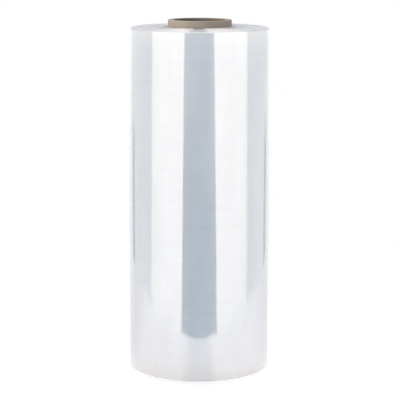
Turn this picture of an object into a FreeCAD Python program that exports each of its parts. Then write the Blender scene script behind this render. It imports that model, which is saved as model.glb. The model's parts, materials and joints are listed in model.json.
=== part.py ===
import FreeCAD, Part

import math
import os

# Stretch wrap roll: clear film wound on a spiral-wound board core, standing on one end.
# Millimetres, +Z up along the core's axis. The origin is the middle of the core's lower end.

# The film, and how much of it is wound on
film_width = 500.0
film_thickness = 0.023
film_length = 1160000.0

# The core tube
core_bore = 76.2
core_wall = 8.0
core_overhang = 11.0
core_edge_chamfer = 0.6

# The board strips that the core is wound from climb at this angle. Where neighbouring turns of
# the outer strip meet, and of the strip that lines the bore, a helical seam leaves a shallow V
ply_slope = 27.0
seam_width = 0.6
seam_depth = 0.3
outer_seam_start = 200.0
bore_seam_start = 20.0

# The ends of the winding: the film was wound a little higher at the core than outside, so both
# ends rise evenly towards the core. It also wandered sideways, so the edges of its turns form
# rings that lie a little higher or lower, and the outermost edge is pressed round, drawn here as
# two flats
inner_rise = 1.6
end_wander = 0.5
end_ring_count = 12
rim_round = 1.2

# The loose end of the film: how far it stands off the turn below, and where along the back of
# the roll it lies
tail_lift = 0.3
tail_angle = 118.0

# Worked out from the sizes above
core_radius = core_bore / 2 + core_wall
core_length = film_width + 2 * core_overhang
wound_radius = math.sqrt(core_radius ** 2 + film_length * film_thickness / math.pi)
outer_radius = wound_radius + tail_lift
film_middle = core_length / 2

axis = FreeCAD.Vector(0, 0, 1)
origin = FreeCAD.Vector(0, 0, 0)


def point(radius, height):
    """A point of a turned outline, in the XZ plane."""
    return FreeCAD.Vector(radius, 0, height)


def lines(points):
    """Straight edges from each point to the next."""
    return [Part.LineSegment(a, b).toShape() for a, b in zip(points, points[1:])]


def core_blank():
    """The tube with its four end edges broken, before the seams are cut."""
    tube = Part.makeCylinder(core_radius, core_length)
    tube = tube.cut(Part.makeCylinder(core_bore / 2, core_length))
    rims = [edge for edge in tube.Edges if isinstance(edge.Curve, Part.Circle)]
    return tube.makeChamfer(min(core_edge_chamfer, core_wall / 3), rims)


def seam_tool(radius, outward, start):
    """A thread with a V section along a seam. The V points away from the outward direction, into
    the board, and its back stands as far out of the wall as its point lies in it."""
    lead = 2 * math.pi * radius * math.tan(math.radians(ply_slope))
    reach = 2 * seam_width
    path = Part.makeHelix(lead, core_length + 2 * reach, radius)
    along = FreeCAD.Vector(0, math.cos(math.radians(ply_slope)), math.sin(math.radians(ply_slope)))
    across = FreeCAD.Vector(1, 0, 0).cross(along)
    middle = FreeCAD.Vector(radius, 0, 0)
    depth = FreeCAD.Vector(outward * seam_depth, 0, 0)
    tip = middle - depth
    back = [middle + depth + across * (side * seam_width) for side in (-1, 1)]
    section = Part.Wire(lines([tip, *back, tip]))
    thread = Part.Wire([path]).makePipeShell([section], True, True)
    thread.rotate(origin, axis, start)
    thread.translate(FreeCAD.Vector(0, 0, -reach))
    return thread


def core_tube():
    outer_seam = seam_tool(core_radius, 1, outer_seam_start)
    bore_seam = seam_tool(core_bore / 2, -1, bore_seam_start)
    return core_blank().cut(outer_seam).cut(bore_seam)


def wound_outline():
    """The winding seen from above: two half circles that make one turn of a spiral. The step
    between them is the loose end of the film, which stands a little proud of the turn below."""
    side = FreeCAD.Vector(wound_radius, 0, 0)
    far_side = FreeCAD.Vector(-wound_radius, 0, 0)
    tail = FreeCAD.Vector(outer_radius, 0, 0)
    under_middle = FreeCAD.Vector(0, -wound_radius, 0)
    over_middle = FreeCAD.Vector(tail_lift / 2, wound_radius + tail_lift / 2, 0)
    under = Part.Arc(side, under_middle, far_side).toShape()
    over = Part.Arc(far_side, over_middle, tail).toShape()
    step = Part.LineSegment(tail, side).toShape()
    return Part.Wire([under, over, step])


def wander(ring):
    """How far the turns at this ring lie below the widest turn, from 0 to 1. Steps of the golden
    ratio keep neighbouring rings apart and never repeat."""
    golden_ratio = (math.sqrt(5) - 1) / 2
    return ring * golden_ratio % 1


def end_outline(upward):
    """One end of the winding in section, from the core outwards: the rings and the pressed rim.
    Upward is 1 for the upper end and -1 for the lower one. Heights are measured from the middle
    of the outermost turn's width."""
    reach = film_width / 2
    shoulder = outer_radius - rim_round
    spacing = (shoulder - core_radius) / end_ring_count
    rings = []
    for ring in range(end_ring_count):
        rise = inner_rise * (1 - ring / end_ring_count)
        height = upward * (reach - end_wander * wander(ring)) + rise
        rings.append(point(core_radius + spacing * ring, height))
    quarter = rim_round * math.sqrt(0.5)
    crest = point(shoulder, upward * reach)
    bend = point(shoulder + quarter, upward * (reach - rim_round + quarter))
    edge = point(outer_radius, upward * (reach - rim_round))
    return rings + [crest, bend, edge]


def winding_envelope():
    """The winding turned about its axis, as wide as the loose end stands."""
    upper = end_outline(1)
    lower = reversed(end_outline(-1))
    outline = Part.Wire(lines([*upper, *lower, upper[0]]))
    body = Part.Face(outline).revolve(origin, axis, 360)
    body.translate(FreeCAD.Vector(0, 0, film_middle))
    return body


def film_winding():
    prism = Part.Face(wound_outline()).extrude(FreeCAD.Vector(0, 0, core_length))
    prism.rotate(origin, axis, tail_angle)
    return winding_envelope().common(prism)


def write(name, shape):
    solids = shape.Solids
    assert len(solids) == 1 and solids[0].isValid(), name
    solids[0].exportStep(f"parts/{name}.step")
    print(f"{name}: {solids[0].Volume / 1000:.1f} cm3, {len(solids[0].Faces)} faces")


os.makedirs("parts", exist_ok=True)
write("core_tube", core_tube())
write("film_winding", film_winding())
print(f"film {film_length / 1000:.0f} m long, wound to {2 * wound_radius:.1f} mm across")
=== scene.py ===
"""Builds the looks of a roll of clear stretch film on its board core, and a small studio for it."""

import json
import math

import bpy
from mathutils import Matrix, Vector


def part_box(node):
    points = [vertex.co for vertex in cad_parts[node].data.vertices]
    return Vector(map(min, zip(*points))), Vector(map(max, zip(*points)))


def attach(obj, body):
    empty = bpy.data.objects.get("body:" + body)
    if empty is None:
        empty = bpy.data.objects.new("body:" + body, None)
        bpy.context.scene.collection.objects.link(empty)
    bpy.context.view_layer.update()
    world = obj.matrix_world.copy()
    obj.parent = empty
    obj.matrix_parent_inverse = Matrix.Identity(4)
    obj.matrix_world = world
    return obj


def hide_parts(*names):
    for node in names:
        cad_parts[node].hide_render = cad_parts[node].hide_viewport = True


bl_info = {
    "name": "Stretch Wrap Roll",
    "version": (1, 0, 0),
    "blender": (4, 5, 0),
    "location": "View3D > Sidebar > Wrap Roll",
    "description": "Models a roll of stretch film and its board core, and sets the stage for it",
    "category": "Object",
}

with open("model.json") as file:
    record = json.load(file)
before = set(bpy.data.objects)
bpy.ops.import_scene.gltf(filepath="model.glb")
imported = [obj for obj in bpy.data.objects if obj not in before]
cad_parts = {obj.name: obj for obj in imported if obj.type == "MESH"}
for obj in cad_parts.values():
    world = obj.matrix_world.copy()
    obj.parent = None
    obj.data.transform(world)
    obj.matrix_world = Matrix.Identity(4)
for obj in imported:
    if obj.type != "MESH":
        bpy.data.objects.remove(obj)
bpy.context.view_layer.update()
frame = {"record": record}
CORE_LOW, CORE_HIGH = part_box("core_tube")
FILM_LOW, FILM_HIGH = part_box("film_winding")
MOUNTS = {mount["name"]: mount for mount in frame["record"]["mounts"]}
BORE_RADIUS = MOUNTS["core_bore"]["dims"]["r_mm"] / 1000
MM = 0.001
# How far the turns by the core stand above the outer ones
INNER_RISE = 1.6 * MM

# Steps round the roll, and along its side and ends
FILM_STEPS = 192
SIDE_ROWS = 72
TURNS_PER_RING = 8
RIM_STEPS = 5
CORE_STEPS = 144
# Steps of these ratios never repeat, so rings placed by them look unplanned
GOLDEN = (math.sqrt(5) - 1) / 2
PLASTIC = 0.7548776662
# From a rim to the side's nearest row
RIM_HOLD = 0.4 * MM
# Vertices this near each other are one
WELD = 0.01 * MM
# Faces that meet at less than this are shaded as one
SMOOTH_ANGLE = math.radians(35)
# Where the film is thin, as lengths in millimetres and phases of the waves that add up to it
GAUGE_WAVES = ((41, 1.0), (23, 2.3), (67, 0.4))

# The lamp at the left
KEY_PLACE = (-1.4, -0.45, 1.0)
KEY_AIM = (0, 0, 0.35)
KEY_SIZE = 0.6
KEY_COLOUR = (1.0, 0.93, 0.83)

# The table: how much it glows to the camera, and its reflection in the film. A pair of turns,
# from the camera's side, says where a change starts and where it is complete, and a share is
# the part of the reflection that is left
TABLE_GLOW = 0.75
TABLE_TINT = (1, 0.985, 1.02, 1)
TABLE_FRONT = (math.radians(8), math.radians(24))
TABLE_FRONT_SHARE = 0.73
TABLE_REAR = (math.radians(70), math.radians(130))
TABLE_REAR_SHARE = 0.7

# The studio as the roll mirrors it. Turns are in radians from the camera's side, heights are
# sines of the angle above level, and a pair says where a change starts and where it is complete.
# The dark gap between the panels
GAP_TURN = 0.02
GAP_LEAN = 0.11
GAP_HALF_WIDTH = 0.377
GAP_SPREAD = 0.51
GAP_EDGE = (1.03, 0.97)
GAP_FADE = (-0.21, -0.08)
GAP_LOW_LEVEL = 0.18
GAP_HIGH_LEVEL = 0.46
GAP_TOP = (-0.0742, -0.0748)
GAP_RIM = (0.5, 0.95)
GAP_RIM_LEVEL = 0.15
ROOM_HEIGHTS = (-0.05, 0.05)
ROOM_LEVEL = 0.22
# The panels
PANEL_END = (1.385, 1.415)
PANEL_LEAN = 0.35
PANEL_SIDE = (1.1, 1.5)
PANEL_SIDE_LOSS = 0.12
PANEL_RISE = 0.7
PANEL_FOOT = (-0.243, -0.258)
PANEL_UPPER = (-0.12, 0.0)
PANEL_UPPER_SHARE = 0.85
PANEL_TOP = (0.3, 0.45)
ABOVE_PANEL_LEVEL = 0.35
# The walls beside and behind the roll, with a dark upright between them
BACK_START = (2.28, 2.62)
BACK_FADE = (-0.2, -0.07)
BACK_LOW_SHARE = 0.8
WALL_SHARE = 0.88
WALL_FALL = 0.33
WALL_TOP = (0.08, 0.25)
ABOVE_WALL_LEVEL = 0.4
UPRIGHT_SIDES = ((2.26, 2.31), (2.47, 2.42))
UPRIGHT_TOP = (-0.115, -0.14)
UPRIGHT_LOSS = 0.5
# The light from above
OVERHEAD_HEIGHTS = (0.45, 0.8)
OVERHEAD_DEPTHS = (0.3, -0.3)
OVERHEAD_REAR_SHARE = 0.85
OVERHEAD_FRONT_SHARE = 1.2


class FilmSettings(bpy.types.PropertyGroup):
    """Sizes and colours of the wound film."""

    radius: bpy.props.FloatProperty(
        name="Radius", description="Radius of the winding under its loose end",
        default=-FILM_LOW.y, unit="LENGTH")
    bottom: bpy.props.FloatProperty(
        name="Bottom", description="Height of the outermost turn's lower edge above the floor",
        default=FILM_LOW.z, unit="LENGTH")
    top: bpy.props.FloatProperty(
        name="Top", description="Height of the outermost turn's upper edge above the floor",
        default=FILM_HIGH.z - INNER_RISE, unit="LENGTH")
    rim_round: bpy.props.FloatProperty(
        name="Rim", description="Radius that the outermost edges are pressed to",
        default=1.2 * MM, unit="LENGTH")
    rim_width: bpy.props.FloatProperty(
        name="Rim Width", description="Width of the glossy ring of pressed edges round each end",
        default=2.3 * MM, unit="LENGTH")
    ring_count: bpy.props.IntProperty(
        name="Rings", description="Broad rings on each end, where the film wandered as it was wound",
        default=12)
    ring_depth: bpy.props.FloatProperty(
        name="Ring Depth", description="How far the lowest broad ring lies under the highest",
        default=0.5 * MM, unit="LENGTH")
    turn_depth: bpy.props.FloatProperty(
        name="Turn Depth", description="How far the edges of neighbouring turns lie apart at most",
        default=0.3 * MM, unit="LENGTH")
    step_lean: bpy.props.FloatProperty(
        name="Step Lean", description="How far the steps between turns that face outwards lean back",
        default=math.radians(6), subtype="ANGLE")
    inner_rise: bpy.props.FloatProperty(
        name="Inner Rise", description="How far the turns by the core stand above the outer ones",
        default=INNER_RISE, unit="LENGTH")
    gauge_depth: bpy.props.FloatProperty(
        name="Gauge Bands", description="Depth of the bands that uneven film thickness winds up to",
        default=0.05 * MM, unit="LENGTH")
    tail_lift: bpy.props.FloatProperty(
        name="Tail Lift", description="How far the loose end stands off the turn below it",
        default=0.3 * MM, unit="LENGTH")
    tail_angle: bpy.props.FloatProperty(
        name="Tail Angle", description="Where round the roll the loose end lies",
        default=math.radians(118), subtype="ANGLE")
    side_colour: bpy.props.FloatVectorProperty(
        name="Side", description="Colour of the film seen through its turns",
        default=(0.6, 0.68, 0.795), subtype="COLOR", size=3, min=0, max=1)
    end_colour: bpy.props.FloatVectorProperty(
        name="Ends", description="Colour of the packed edges of the film",
        default=(0.69, 0.72, 0.78), subtype="COLOR", size=3, min=0, max=1)


class CoreSettings(bpy.types.PropertyGroup):
    """Sizes and colour of the board core."""

    radius: bpy.props.FloatProperty(
        name="Radius", description="Outside radius of the tube",
        default=(CORE_HIGH.x - CORE_LOW.x) / 2, unit="LENGTH")
    bore: bpy.props.FloatProperty(
        name="Bore Radius", description="Inside radius of the tube",
        default=BORE_RADIUS, unit="LENGTH")
    length: bpy.props.FloatProperty(
        name="Length", description="Length of the tube",
        default=CORE_HIGH.z, unit="LENGTH")
    chamfer: bpy.props.FloatProperty(
        name="Chamfer", description="How far the cut edges are broken",
        default=0.6 * MM, unit="LENGTH")
    ply_slope: bpy.props.FloatProperty(
        name="Ply Slope", description="How steeply the strips of board climb",
        default=math.radians(27), subtype="ANGLE")
    ply_count: bpy.props.IntProperty(
        name="Plies", description="Layers of board that show on a cut end", default=9)
    ply_relief: bpy.props.FloatProperty(
        name="Ply Relief", description="How far every other layer stands back on a cut end",
        default=0.07 * MM, unit="LENGTH")
    seam_width: bpy.props.FloatProperty(
        name="Seam Width", description="Width of the groove where turns of a strip meet",
        default=0.6 * MM, unit="LENGTH")
    seam_depth: bpy.props.FloatProperty(
        name="Seam Depth", description="Depth of that groove",
        default=0.3 * MM, unit="LENGTH")
    outer_start: bpy.props.FloatProperty(
        name="Outer Seam", description="Where the seam of the outer strip starts",
        default=math.radians(200), subtype="ANGLE")
    bore_start: bpy.props.FloatProperty(
        name="Bore Seam", description="Where the seam of the strip in the bore starts",
        default=math.radians(20), subtype="ANGLE")
    colour: bpy.props.FloatVectorProperty(
        name="Board", description="Colour of the board",
        default=(0.29, 0.248, 0.21), subtype="COLOR", size=3, min=0, max=1)


class StudioSettings(bpy.types.PropertyGroup):
    """The camera, the table and the light."""

    distance: bpy.props.FloatProperty(
        name="Distance", description="From the roll's axis to the camera, along the floor",
        default=2.278, unit="LENGTH")
    height: bpy.props.FloatProperty(
        name="Height", description="Height of the camera", default=0.662, unit="LENGTH")
    aim_height: bpy.props.FloatProperty(
        name="Aim Height", description="Height of the point that the camera looks at",
        default=0.2575, unit="LENGTH")
    aim_side: bpy.props.FloatProperty(
        name="Aim Side", description="How far right of the axis that point is",
        default=0.001, unit="LENGTH")
    roll: bpy.props.FloatProperty(
        name="Roll", description="How far the camera leans",
        default=math.radians(0.168), subtype="ANGLE")
    lens: bpy.props.FloatProperty(
        name="Lens", description="Focal length in millimetres", default=141.4)
    table_front: bpy.props.FloatProperty(
        name="Table Front", description="From the axis to the table's front edge",
        default=0.38, unit="LENGTH")
    table_shoulder: bpy.props.FloatProperty(
        name="Table Shoulder", description="How far in front of the axis the table is at its widest",
        default=0.04, unit="LENGTH")
    table_back: bpy.props.FloatProperty(
        name="Table Back", description="From the axis to the table's back edge",
        default=0.61, unit="LENGTH")
    front_half_width: bpy.props.FloatProperty(
        name="Front Half Width", description="Half the width of the table's front edge",
        default=0.15, unit="LENGTH")
    table_half_width: bpy.props.FloatProperty(
        name="Table Half Width", description="From the axis to the table's sides",
        default=0.65, unit="LENGTH")
    panel_level: bpy.props.FloatProperty(
        name="Panels", description="Brightness of the tall light panels, where 1 is white",
        default=1.98)
    side_level: bpy.props.FloatProperty(
        name="Sides", description="Brightness of the walls beside the roll", default=1.03)
    back_level: bpy.props.FloatProperty(
        name="Back", description="Brightness of the wall behind the roll", default=1.35)
    table_level: bpy.props.FloatProperty(
        name="Table", description="Brightness of the table in reflections", default=1.45)
    overhead_level: bpy.props.FloatProperty(
        name="Overhead", description="Brightness of the light from above", default=1.1)
    key_power: bpy.props.FloatProperty(
        name="Key", description="Power of the lamp at the left", default=20.0, unit="POWER")


class Wire:
    """A shader socket in an expression. Arithmetic on it adds Math nodes."""

    def __init__(self, shader, socket):
        self.shader = shader
        self.socket = socket

    def math(self, operation, *values):
        sockets = dict(enumerate(values))
        return self.shader.node("ShaderNodeMath", {"operation": operation}, sockets)

    def __add__(self, other):
        return self.math("ADD", self, other)

    def __sub__(self, other):
        return self.math("SUBTRACT", self, other)

    def __mul__(self, other):
        return self.math("MULTIPLY", self, other)

    def __truediv__(self, other):
        return self.math("DIVIDE", self, other)

    def __pow__(self, other):
        return self.math("POWER", self, other)

    def __rsub__(self, other):
        return self.math("SUBTRACT", other, self)

    def __abs__(self):
        return self.math("ABSOLUTE", self)

    def __neg__(self):
        return self.math("MULTIPLY", self, -1)

    def floor(self):
        return self.math("FLOOR", self)

    def blend(self, below, above):
        """Below where this is 0 and above where it is 1."""
        return self * above + (1 - self) * below

    def angle_to(self, across):
        """The angle whose tangent is this over across, in radians."""
        return self.math("ARCTAN2", self, across)

    def ease(self, low, high):
        """0 below low, 1 above high and smooth between them; low may be the larger."""
        settings = {"interpolation_type": "SMOOTHSTEP"}
        sockets = {"Value": self, "From Min": low, "From Max": high}
        return self.shader.node("ShaderNodeMapRange", settings, sockets)

    __radd__ = __add__
    __rmul__ = __mul__


class Shader:
    """Adds nodes to a material's or the world's node tree."""

    def __init__(self, tree):
        self.tree = tree
        tree.nodes.clear()

    def node(self, kind, settings=None, sockets=None, output=0):
        """Adds a node: its settings first, then the values or wires of its sockets."""
        made = self.tree.nodes.new(kind)
        for name, setting in (settings or {}).items():
            setattr(made, name, setting)
        for name, value in (sockets or {}).items():
            if isinstance(value, Wire):
                self.tree.links.new(value.socket, made.inputs[name])
            else:
                made.inputs[name].default_value = value
        return Wire(self, made.outputs[output]) if made.outputs else made

    def position(self, source="Object"):
        """The X, Y and Z of the shaded point, or of the direction when the world is shaded."""
        place = self.node("ShaderNodeTexCoord", output=source)
        return [self.node("ShaderNodeSeparateXYZ", sockets={0: place}, output=i) for i in range(3)]

    def noise(self, x, y, z, detail=2.0, roughness=0.5):
        """Noise from about 0 to 1, with one bump for each unit of the given coordinates."""
        vector = self.node("ShaderNodeCombineXYZ", sockets={0: x, 1: y, 2: z})
        sockets = {"Vector": vector, "Scale": 1.0, "Detail": detail, "Roughness": roughness}
        return self.node("ShaderNodeTexNoise", sockets=sockets)

    def mix(self, factor, first, second):
        """The first colour where factor is 0 and the second where it is 1."""
        sockets = {"Factor": factor, 6: first, 7: second}
        return self.node("ShaderNodeMix", {"data_type": "RGBA"}, sockets, output=2)

    def bump(self, height, reach=0.2):
        """A normal from a height in metres, whose slope is taken over this share of a pixel."""
        sockets = {"Height": height, "Strength": 1.0, "Distance": 1.0, "Filter Width": reach}
        return self.node("ShaderNodeBump", sockets=sockets)

    def finish(self, kind, surface):
        self.node(kind, sockets={"Surface": surface})


def new_material(name):
    material = bpy.data.materials.new(name)
    material.use_nodes = True
    return material, Shader(material.node_tree)


def opaque(colour, share=1.0):
    """A colour with its alpha, made lighter or darker by a share."""
    return (*[min(1.0, channel * share) for channel in colour], 1.0)


def film_side_material(settings):
    """Glossy film: the many turns below reflect too, so it mirrors more than one sheet would."""
    material, shader = new_material("film_side")
    x, y, z = shader.position()
    # Bumps of noise in a metre across the roll and up it
    drawn = shader.noise(x * 5, y * 5, z * 900, detail=3, roughness=0.7)
    streaks = shader.noise(x * 14, y * 14, z * 260, detail=2)
    cloud = shader.noise(x * 30, y * 30, z * 9, detail=3)
    ripple = shader.noise(x * 26, y * 26, z * 30, detail=1)
    waver = shader.noise(x * 60, y * 60, z * 420, detail=2)
    tone = (drawn * 0.3 + streaks * 0.3 + cloud * 0.8).ease(0.45, 0.95)
    colour = shader.mix(tone, opaque(settings.side_colour, 0.95), opaque(settings.side_colour, 1.05))
    height = ripple * (0.06 * MM) + waver * (0.0012 * MM) + streaks * (0.0012 * MM)
    principled = shader.node("ShaderNodeBsdfPrincipled", sockets={
        "Base Color": colour,
        "Roughness": 0.045 + drawn * 0.05,
        "IOR": 3.2,
        "Specular Tint": (1.0, 0.88, 0.76, 1.0),
        "Subsurface Weight": 1.0,
        "Subsurface Radius": (1.0, 1.0, 1.0),
        "Subsurface Scale": 0.12,
        "Coat Weight": 1.0,
        "Coat Roughness": 0.03,
        "Normal": shader.bump(height),
    })
    shader.finish("ShaderNodeOutputMaterial", principled)
    return material


def film_end_material(settings):
    """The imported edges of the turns: satin, finely ringed about the core."""
    material, shader = new_material("film_ends")
    x, y, z = shader.position()
    radius = (x * x + y * y) ** 0.5
    # Bumps of noise in a metre
    turns = shader.noise(radius * 3000, 0, 0, detail=2, roughness=0.8)
    broad = shader.noise(radius * 330, 0, 0, detail=2)
    patches = shader.noise(x * 40, y * 40, z * 40, detail=2)
    tone = (turns * 0.3 + broad * 0.5 + patches * 0.3).ease(0.35, 0.75)
    colour = shader.mix(tone, opaque(settings.end_colour, 0.9), opaque(settings.end_colour, 1.1))
    height = turns * (0.1 * MM) + broad * (0.03 * MM)
    principled = shader.node("ShaderNodeBsdfPrincipled", sockets={
        "Base Color": colour,
        "Roughness": 0.45 + patches * 0.1,
        "IOR": 1.5,
        "Specular IOR Level": 0.1,
        "Subsurface Weight": 1.0,
        "Subsurface Radius": (1.0, 1.0, 1.0),
        "Subsurface Scale": 0.05,
        "Normal": shader.bump(height, reach=0.004),
    })
    shader.finish("ShaderNodeOutputMaterial", principled)
    return material


def strip_coordinates(shader, radius, slope, start):
    """Where a point of the tube lies on its strip of board, in metres along it and across it."""
    x, y, z = shader.position()
    girth = 2 * math.pi * radius
    lead = girth * math.tan(slope)
    turn = y.angle_to(x) / (2 * math.pi)
    place = z / lead - turn + start / (2 * math.pi)
    wound = place.floor()
    return (turn + wound) * girth, (place - wound) * lead


def board_material(settings):
    """Grey-brown board: short fibres along the strips, specks, and darker layers at the cuts. The
    bore is darkened with painted shade, for the shade deep inside the tube.
    """
    material, shader = new_material("core_board")
    x, y, z = shader.position()
    radius = (x * x + y * y) ** 0.5
    along, across = strip_coordinates(
        shader, settings.radius, settings.ply_slope, settings.outer_start)
    # Bumps of noise in a metre
    fibres = shader.noise(along * 300, across * 1500, radius * 1500, detail=3, roughness=0.6)
    mottle = shader.noise(x * 90, y * 90, z * 90, detail=3)
    specks = shader.noise(along * 700, across * 1100, radius * 900, detail=1).ease(0.68, 0.78)
    tone = (fibres * 0.6 + mottle * 0.4).ease(0.3, 0.7)
    colour = shader.mix(tone, opaque(settings.colour, 0.88), opaque(settings.colour, 1.12))
    colour = shader.mix(specks * 0.5, colour, opaque(settings.colour, 0.55))
    # Painted shade: the bore and its chamfer are darkened, for the shade deep inside the tube
    painted_bore_shade = radius.ease(settings.bore + settings.chamfer, settings.bore)
    colour = shader.mix(painted_bore_shade, colour, opaque(settings.colour, 0.55))
    middle = settings.length / 2
    cut = abs(z - middle).ease(middle - settings.chamfer, middle - settings.chamfer / 2)
    colour = shader.mix(cut * 0.6, colour, opaque(settings.colour, 1.5))
    height = fibres * (0.05 * MM) + mottle * (0.08 * MM)
    principled = shader.node("ShaderNodeBsdfPrincipled", sockets={
        "Base Color": colour,
        "Roughness": 0.75 + fibres * 0.2,
        "IOR": 1.4,
        "Normal": shader.bump(height),
    })
    shader.finish("ShaderNodeOutputMaterial", principled)
    return material


def deselect():
    if bpy.context.object and bpy.context.object.mode != "OBJECT":
        bpy.ops.object.mode_set(mode="OBJECT")
    bpy.ops.object.select_all(action="DESELECT")


def draw_line(name, points):
    """A chain of vertices through the points, as an object left in edit mode."""
    deselect()
    bpy.ops.mesh.primitive_plane_add(size=1)
    piece = bpy.context.object
    piece.name = piece.data.name = name
    bpy.ops.object.mode_set(mode="EDIT")
    bpy.ops.mesh.merge(type="CENTER")
    bpy.ops.transform.translate(value=points[0])
    for here, there in zip(points, points[1:]):
        bpy.ops.mesh.extrude_vertices_move(TRANSFORM_OT_translate={"value": there - here})
    bpy.ops.mesh.select_all(action="SELECT")
    return piece


def select_vertices(piece, wanted):
    """Selects the vertices whose place the test wants, and leaves the piece in edit mode."""
    bpy.ops.mesh.select_mode(type="VERT")
    bpy.ops.mesh.select_all(action="DESELECT")
    bpy.ops.object.mode_set(mode="OBJECT")
    for vertex in piece.data.vertices:
        vertex.select = wanted(vertex.co)
    bpy.ops.object.mode_set(mode="EDIT")


def close_up(piece):
    """Welds the piece, turns its faces outwards and smooths all but its sharp edges."""
    bpy.ops.mesh.select_all(action="SELECT")
    bpy.ops.mesh.remove_doubles(threshold=WELD)
    bpy.ops.mesh.normals_make_consistent(inside=False)
    bpy.ops.object.mode_set(mode="OBJECT")
    bpy.ops.object.shade_smooth_by_angle(angle=SMOOTH_ANGLE)


def ring_drop(settings, share):
    """How far the film's edges lie under the top at a share of the way out from the core."""
    place = share * settings.ring_count
    ring = int(place)
    drops = [n * GOLDEN % 1 if n < settings.ring_count else 0 for n in (ring, ring + 1)]
    return settings.ring_depth * (drops[0] + (drops[1] - drops[0]) * (place - ring))


def gauge_band(settings, height):
    """How far the side lies in at this height, where the film is a little thinner."""
    turns = [2 * math.pi * height / (length * MM) + phase for length, phase in GAUGE_WAVES]
    total = sum(1 + math.sin(turn) for turn in turns)
    return settings.gauge_depth * total / (2 * len(turns))


def end_points(settings, core_radius, upward):
    """One end of the winding in section, from the core out, as radius and height. Each batch of
    turns has its own level. A step that faces outwards leans back a little, as pressed edges do."""
    shoulder = settings.radius - settings.rim_round
    count = settings.ring_count * TURNS_PER_RING
    batch = (shoulder - core_radius) / count
    edge = settings.top if upward > 0 else settings.bottom
    points = []
    for n in range(count):
        drop = ring_drop(settings, n / count) + settings.turn_depth * (n * PLASTIC % 1)
        height = edge - drop * upward + settings.inner_rise * (1 - n / count)
        step = (points[-1][1] - height) * upward if points else 0
        lean = max(0, step) * math.tan(settings.step_lean)
        points += [(core_radius + batch * n + lean, height), (core_radius + batch * (n + 1), height)]
    for n in range(RIM_STEPS + 1):
        turn = math.pi / 2 * n / RIM_STEPS
        drop = settings.rim_round * (1 - math.cos(turn))
        points.append((shoulder + settings.rim_round * math.sin(turn), edge - drop * upward))
    return points


def film_section(settings, core_radius):
    """The winding's closed section, as radius and height. The side's first and last rows lie
    close to the rims, so that the shading of the rims stays on them."""
    high = settings.top - settings.rim_round - RIM_HOLD
    low = settings.bottom + settings.rim_round + RIM_HOLD
    rows = [high + (low - high) * n / SIDE_ROWS for n in range(1, SIDE_ROWS)]
    side = [(settings.radius - gauge_band(settings, height), height) for height in rows]
    side = [(settings.radius, high), *side, (settings.radius, low)]
    upper = end_points(settings, core_radius, 1)
    lower = end_points(settings, core_radius, -1)
    return upper + side + lower[::-1] + upper[:1]


class ROLL_OT_wind_film(bpy.types.Operator):
    """Models the wound film: its section is spun about the core, in two half turns whose centres
    lie apart, so that the last turn ends in the step of the loose end"""

    bl_idname = "roll.wind_film"
    bl_label = "Wind Film"

    def execute(self, context):
        settings = context.scene.roll_film
        heading = Vector((math.cos(settings.tail_angle), math.sin(settings.tail_angle), 0))
        section = film_section(settings, context.scene.roll_core.radius)
        points = [heading * radius + Vector((0, 0, height)) for radius, height in section]
        film = draw_line("wound_film", points)
        bpy.ops.mesh.remove_doubles(threshold=WELD)
        for centre in (Vector(), heading * settings.tail_lift / 2):
            bpy.ops.mesh.spin(steps=FILM_STEPS // 2, angle=math.pi, center=centre, axis=(0, 0, 1))
        select_vertices(film, lambda place: place.cross(heading).z ** 2 < WELD ** 2
                        and place.dot(heading) > 0)
        bpy.ops.mesh.bridge_edge_loops()
        close_up(film)
        film.data.materials.append(film_side_material(settings))
        film.data.materials.append(film_end_material(settings))
        pressed = settings.radius - settings.rim_round - settings.rim_width
        for face in film.data.polygons:
            level = abs(face.normal.z) > face.normal.xy.length
            face.material_index = int(level and face.center.xy.length < pressed)
        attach(film, "root")
        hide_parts("film_winding")
        return {"FINISHED"}


def strip_wall(name, settings, radius, outward, start):
    """One wall of the core, left as its strip makes it: one turn of the strip, with half of the
    seam's groove at each edge, screwed up the tube past both of its ends and then cut off level."""
    lead = 2 * math.pi * radius * math.tan(settings.ply_slope)
    groove = settings.seam_width / 2 / math.cos(settings.ply_slope)
    heading = Vector((math.cos(start), math.sin(start), 0))
    floor = heading * (radius - outward * settings.seam_depth)
    wall = heading * radius
    section = ((floor, 0), (wall, groove), (wall, lead / 2), (wall, lead - groove), (floor, lead))
    low = -lead - 2 * settings.seam_width
    strip = draw_line(name, [place + Vector((0, 0, low + height)) for place, height in section])
    bpy.ops.object.mode_set(mode="OBJECT")
    screw = strip.modifiers.new("climb", "SCREW")
    screw.axis = "Z"
    screw.angle = 2 * math.pi
    screw.screw_offset = lead
    screw.iterations = math.ceil(settings.length / lead) + 1
    screw.steps = screw.render_steps = CORE_STEPS
    bpy.ops.object.modifier_apply(modifier=screw.name)
    bpy.ops.object.mode_set(mode="EDIT")
    bpy.ops.mesh.select_all(action="SELECT")
    bpy.ops.mesh.remove_doubles(threshold=WELD)
    bpy.ops.mesh.bisect(plane_co=(0, 0, settings.chamfer), plane_no=(0, 0, 1), clear_inner=True,
                        threshold=WELD / 10)
    bpy.ops.mesh.select_all(action="SELECT")
    bpy.ops.mesh.bisect(plane_co=(0, 0, settings.length - settings.chamfer), plane_no=(0, 0, 1),
                        clear_outer=True, threshold=WELD / 10)
    bpy.ops.object.mode_set(mode="OBJECT")
    return strip


def end_steps(settings):
    """One cut end of the core in section, from its outer chamfer in, as radius and drop: a level
    for each layer of board, with every other one standing back."""
    outer = settings.radius - settings.chamfer
    layer = (outer - settings.bore - settings.chamfer) / settings.ply_count
    steps = [(settings.radius, settings.chamfer), (outer, 0)]
    for ply in range(1, settings.ply_count):
        drops = (0, settings.ply_relief) if ply % 2 else (settings.ply_relief, 0)
        steps += [(outer - ply * layer, drop) for drop in drops]
    return steps


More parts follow.
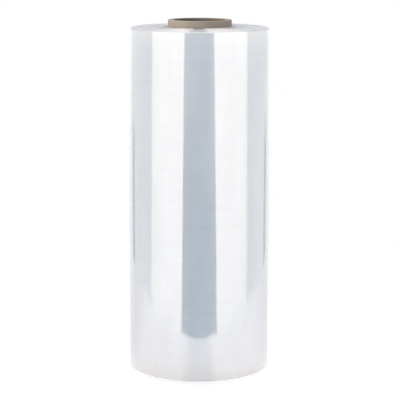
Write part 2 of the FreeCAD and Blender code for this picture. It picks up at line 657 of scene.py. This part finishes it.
def draw_in(steps, upward):
    """Extrudes the selected loop of edges through the radii and drops of the steps."""
    for (radius, drop), (next_radius, next_drop) in zip(steps, steps[1:]):
        rise = (drop - next_drop) * upward
        bpy.ops.mesh.extrude_region_move(TRANSFORM_OT_translate={"value": (0, 0, rise)})
        share = next_radius / radius
        bpy.ops.transform.resize(value=(share, share, 1), center_override=(0, 0, 0))


def close_end(core, settings, upward):
    """Draws one end of the outer wall in over the layers, and fills up to the bore's chamfer."""
    cut = settings.length - settings.chamfer if upward > 0 else settings.chamfer
    face = cut + settings.chamfer * upward
    middle = (settings.radius + settings.bore) / 2
    select_vertices(core, lambda at: abs(at.z - cut) < WELD and at.xy.length < middle)
    draw_in([(settings.bore, settings.chamfer), (settings.bore + settings.chamfer, 0)], upward)
    select_vertices(core, lambda at: abs(at.z - cut) < WELD and at.xy.length > middle)
    steps = end_steps(settings)
    draw_in(steps, upward)
    last = steps[-1][0] + WELD
    select_vertices(core, lambda at: abs(at.z - face) < WELD and at.xy.length < last)
    bpy.ops.mesh.fill()


class ROLL_OT_make_core(bpy.types.Operator):
    """Models the board core: each wall is a strip screwed up the tube and cut to length, and the
    cut ends are chamfered and closed with the levels of their layers"""

    bl_idname = "roll.make_core"
    bl_label = "Make Core"

    def execute(self, context):
        settings = context.scene.roll_core
        core = strip_wall("board_core", settings, settings.radius, 1, settings.outer_start)
        bore = strip_wall("bore_lining", settings, settings.bore, -1, settings.bore_start)
        deselect()
        bore.select_set(True)
        core.select_set(True)
        context.view_layer.objects.active = core
        bpy.ops.object.join()
        bpy.ops.object.mode_set(mode="EDIT")
        for upward in (-1, 1):
            close_end(core, settings, upward)
        close_up(core)
        core.data.materials.append(board_material(settings))
        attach(core, "root")
        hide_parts("core_tube")
        return {"FINISHED"}


def table_material(settings):
    """Matt white. The camera sees it white but for the roll's shadow. The film mirrors it evenly
    lit, a little darker towards the camera and behind the roll. It doesn't show from below."""
    material, shader = new_material("table_white")
    x, y = shader.position()[:2]
    camera = shader.node("ShaderNodeLightPath", output="Is Camera Ray")
    glossy = shader.node("ShaderNodeLightPath", output="Is Glossy Ray")
    azimuth = abs(x.angle_to(-y))
    mirrored = azimuth.ease(*TABLE_FRONT).blend(TABLE_FRONT_SHARE, 1)
    mirrored = azimuth.ease(*TABLE_REAR).blend(mirrored, TABLE_REAR_SHARE)
    strength = camera * TABLE_GLOW + glossy * mirrored * settings.table_level
    paint = shader.node("ShaderNodeBsdfDiffuse", sockets={"Color": (0.9, 0.9, 0.9, 1)})
    glow = shader.node("ShaderNodeEmission", sockets={"Color": TABLE_TINT, "Strength": strength})
    lit = shader.node("ShaderNodeAddShader", sockets={0: paint, 1: glow})
    above = shader.node("ShaderNodeMixShader", sockets={0: glossy, 1: lit, 2: glow})
    clear = shader.node("ShaderNodeBsdfTransparent")
    behind = shader.node("ShaderNodeNewGeometry", output="Backfacing")
    surface = shader.node("ShaderNodeMixShader", sockets={0: behind, 1: above, 2: clear})
    shader.finish("ShaderNodeOutputMaterial", surface)
    return material


def studio_world(settings):
    """White to the camera. To the roll it is a studio: dark behind the camera, a tall panel to
    each side, grey beside the roll, white behind it and soft light above."""
    world = bpy.data.worlds.new("studio")
    world.use_nodes = True
    shader = Shader(world.node_tree)
    x, y, z = shader.position("Generated")
    azimuth = x.angle_to(-y)
    side = abs(azimuth)

    # 0 in the middle of the gap and 1 at its edges
    gap = abs(azimuth + GAP_TURN + z * GAP_LEAN) / (GAP_HALF_WIDTH - z * GAP_SPREAD)
    dark = z.ease(*GAP_FADE).blend(GAP_LOW_LEVEL, GAP_HIGH_LEVEL) * z.ease(*GAP_TOP)
    dark = dark + z.ease(*ROOM_HEIGHTS) * ROOM_LEVEL + gap.ease(*GAP_RIM) * GAP_RIM_LEVEL

    panel = (1 - side.ease(*PANEL_SIDE) * PANEL_SIDE_LOSS) * (1 + z * PANEL_RISE)
    panel = z.ease(*PANEL_FOOT).blend(panel * settings.panel_level, settings.table_level)
    panel = panel * z.ease(*PANEL_UPPER).blend(1, PANEL_UPPER_SHARE)
    panel = z.ease(*PANEL_TOP).blend(panel, ABOVE_PANEL_LEVEL)

    near, far = UPRIGHT_SIDES
    upright = side.ease(*near) * side.ease(*far) * z.ease(*UPRIGHT_TOP)
    back = z.ease(*BACK_FADE).blend(BACK_LOW_SHARE, 1) * settings.back_level
    wall = side.ease(*BACK_START).blend(settings.side_level, back)
    wall = wall * (WALL_SHARE - z * WALL_FALL) * (1 - upright * UPRIGHT_LOSS)
    wall = z.ease(*WALL_TOP).blend(wall, ABOVE_WALL_LEVEL)

    beside = (side + z * PANEL_LEAN).ease(*PANEL_END)
    level = beside.blend(gap.ease(*GAP_EDGE).blend(panel, dark), wall)
    overhead = y.ease(*OVERHEAD_DEPTHS).blend(OVERHEAD_REAR_SHARE, OVERHEAD_FRONT_SHARE)
    light = z.ease(*OVERHEAD_HEIGHTS).blend(level, overhead * settings.overhead_level)
    camera = shader.node("ShaderNodeLightPath", output="Is Camera Ray")
    sockets = {"Color": (1, 1, 1, 1), "Strength": camera.blend(light, 1)}
    shader.finish("ShaderNodeOutputWorld", shader.node("ShaderNodeBackground", sockets=sockets))
    return world


class ROLL_OT_set_stage(bpy.types.Operator):
    """Sets the table, the light and the camera"""

    bl_idname = "roll.set_stage"
    bl_label = "Set Stage"

    def execute(self, context):
        settings = context.scene.roll_studio
        deselect()
        bpy.ops.mesh.primitive_plane_add(size=2)
        table = context.object
        table.name = table.data.name = "table"
        depth = (settings.table_shoulder + settings.table_back) / 2
        bpy.ops.object.mode_set(mode="EDIT")
        bpy.ops.transform.resize(value=(settings.table_half_width, depth, 1))
        bpy.ops.transform.translate(value=(0, settings.table_back - depth, 0))
        select_vertices(table, lambda place: place.y < 0)
        reach = settings.table_front - settings.table_shoulder
        bpy.ops.mesh.extrude_region_move(TRANSFORM_OT_translate={"value": (0, -reach, 0)})
        share = settings.front_half_width / settings.table_half_width
        bpy.ops.transform.resize(value=(share, 1, 1))
        bpy.ops.object.mode_set(mode="OBJECT")
        table.data.materials.append(table_material(settings))

        context.scene.world = studio_world(settings)
        deselect()
        bpy.ops.object.light_add(type="AREA", location=KEY_PLACE)
        key = context.object
        key.name = key.data.name = "key"
        key.data.size = KEY_SIZE
        key.data.energy = settings.key_power
        key.data.color = KEY_COLOUR
        key.visible_glossy = key.visible_camera = False
        aim_at(key, Vector(KEY_AIM))
        lit = bpy.data.collections.new("lit by key")
        lit.objects.link(bpy.data.objects["board_core"])
        key.light_linking.receiver_collection = lit

        bpy.ops.object.camera_add(location=(0, -settings.distance, settings.height))
        camera = context.object
        camera.data.lens = settings.lens
        aim_at(camera, Vector((settings.aim_side, 0, settings.aim_height)), settings.roll)
        context.scene.camera = camera
        context.scene.view_settings.view_transform = "Standard"
        return {"FINISHED"}


def aim_at(thing, target, roll=0.0):
    """Turns a lamp or camera to look at the target, leaning by the roll."""
    heading = (target - thing.location).to_track_quat("-Z", "Y").to_matrix()
    thing.rotation_euler = (heading @ Matrix.Rotation(roll, 3, "Z")).to_euler()


class ROLL_PT_panel(bpy.types.Panel):
    """Lists the roll's settings and steps in the 3D view's sidebar"""

    bl_label = "Wrap Roll"
    bl_space_type = "VIEW_3D"
    bl_region_type = "UI"
    bl_category = "Wrap Roll"

    def draw(self, context):
        for name, operator in STEPS:
            box = self.layout.box()
            settings = getattr(context.scene, name)
            for key in settings.bl_rna.properties.keys():
                if key not in ("rna_type", "name"):
                    box.prop(settings, key)
            box.operator(operator.bl_idname)


SETTINGS = {"roll_film": FilmSettings, "roll_core": CoreSettings, "roll_studio": StudioSettings}
STEPS = (
    ("roll_film", ROLL_OT_wind_film),
    ("roll_core", ROLL_OT_make_core),
    ("roll_studio", ROLL_OT_set_stage),
)
CLASSES = (*SETTINGS.values(), *[operator for name, operator in STEPS], ROLL_PT_panel)


def register():
    for made in CLASSES:
        bpy.utils.register_class(made)
    for name, group in SETTINGS.items():
        setattr(bpy.types.Scene, name, bpy.props.PointerProperty(type=group))


def unregister():
    for name in SETTINGS:
        delattr(bpy.types.Scene, name)
    for made in reversed(CLASSES):
        bpy.utils.unregister_class(made)


def main():
    register()
    bpy.ops.roll.wind_film()
    bpy.ops.roll.make_core()
    bpy.ops.roll.set_stage()


if __name__ == "__main__":
    main()
